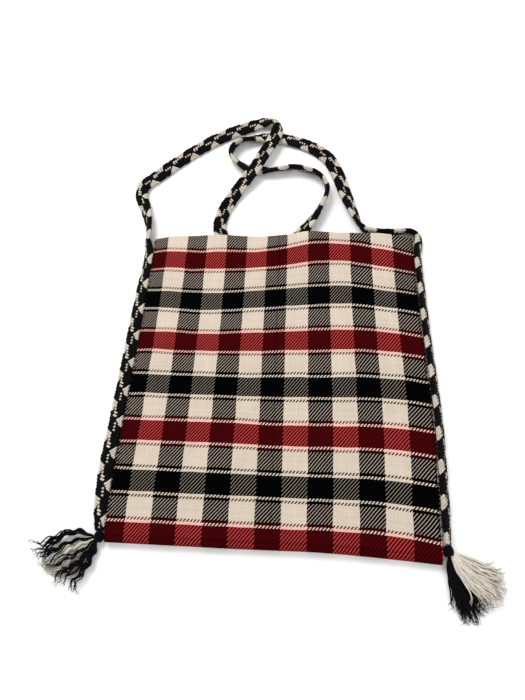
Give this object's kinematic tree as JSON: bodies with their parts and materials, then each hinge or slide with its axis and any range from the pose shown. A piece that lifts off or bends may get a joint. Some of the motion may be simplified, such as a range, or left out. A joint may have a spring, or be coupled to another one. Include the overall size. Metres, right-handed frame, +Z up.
{
  "type": "handwoven fabric sack with shoulder strap",
  "caption": "Flat checked cloth sack, open at the mouth, with braided side edges that run on as a shoulder strap and end in loose yarn tassels.",
  "frame": {"origin": "middle of the back panel's underside, on the surface that the sack lies on", "axes": "+Z up through the two panels, +Y from the bottom fold towards the mouth, +X to the right seen from above the front panel"},
  "size_m": [0.3901, 0.5424, 0.0154],
  "materials": {
    "check_cloth": "twill-woven wool and cotton check in cream, black and red",
    "braid": "flat braid of black and cream yarn",
    "sewing_thread": "black overcast stitches",
    "black_yarn": "loose twisted black yarn",
    "cream_yarn": "loose twisted cream yarn"
  },
  "bodies": {
    "sack_back": {"back_panel": "check_cloth", "bottom_fold": "check_cloth", "back_mouth_hem": "check_cloth", "left_edge_braid": "braid", "right_edge_braid": "braid", "left_front_seam": "sewing_thread", "left_back_seam": "sewing_thread", "right_front_seam": "sewing_thread", "right_back_seam": "sewing_thread", "shoulder_strap": "braid"},
    "sack_front": {"front_panel": "check_cloth", "front_mouth_hem": "check_cloth"},
    "left_knot": {"left_corner_knot": "braid"},
    "left_tassel": {"left_black_lock_1": "black_yarn", "left_black_lock_2": "black_yarn", "left_black_lock_3": "black_yarn", "left_cream_lock_1": "cream_yarn", "left_cream_lock_2": "cream_yarn", "left_cream_lock_3": "cream_yarn"},
    "right_knot": {"right_corner_knot": "braid"},
    "right_tassel": {"right_black_lock_1": "black_yarn", "right_black_lock_2": "black_yarn", "right_black_lock_3": "black_yarn", "right_cream_lock_1": "cream_yarn", "right_cream_lock_2": "cream_yarn", "right_cream_lock_3": "cream_yarn"}
  },
  "joints": [
    {"name": "mouth_open", "type": "hinge", "parent": "sack_back", "child": "sack_front", "pos_m": [0, -0.15235, 0.0091], "axis": [1, 0, 0], "range_deg": [0, 5]},
    {"name": "left_knot_swing", "type": "hinge", "parent": "sack_back", "child": "left_knot", "pos_m": [-0.14868, -0.1505, 0.0049], "axis": [0, 0, 1], "range_deg": [-20, 20]},
    {"name": "left_tassel_lift", "type": "hinge", "parent": "left_knot", "child": "left_tassel", "pos_m": [-0.14868, -0.1505, 0.0049], "axis": [-0.7071, 0.7071, 0], "range_deg": [0, 60]},
    {"name": "right_knot_swing", "type": "hinge", "parent": "sack_back", "child": "right_knot", "pos_m": [0.14686, -0.1505, 0.0049], "axis": [0, 0, 1], "range_deg": [-10, 20]},
    {"name": "right_tassel_lift", "type": "hinge", "parent": "right_knot", "child": "right_tassel", "pos_m": [0.14686, -0.1505, 0.0049], "axis": [-0.8192, -0.5736, 0], "range_deg": [0, 60]}
  ]
}
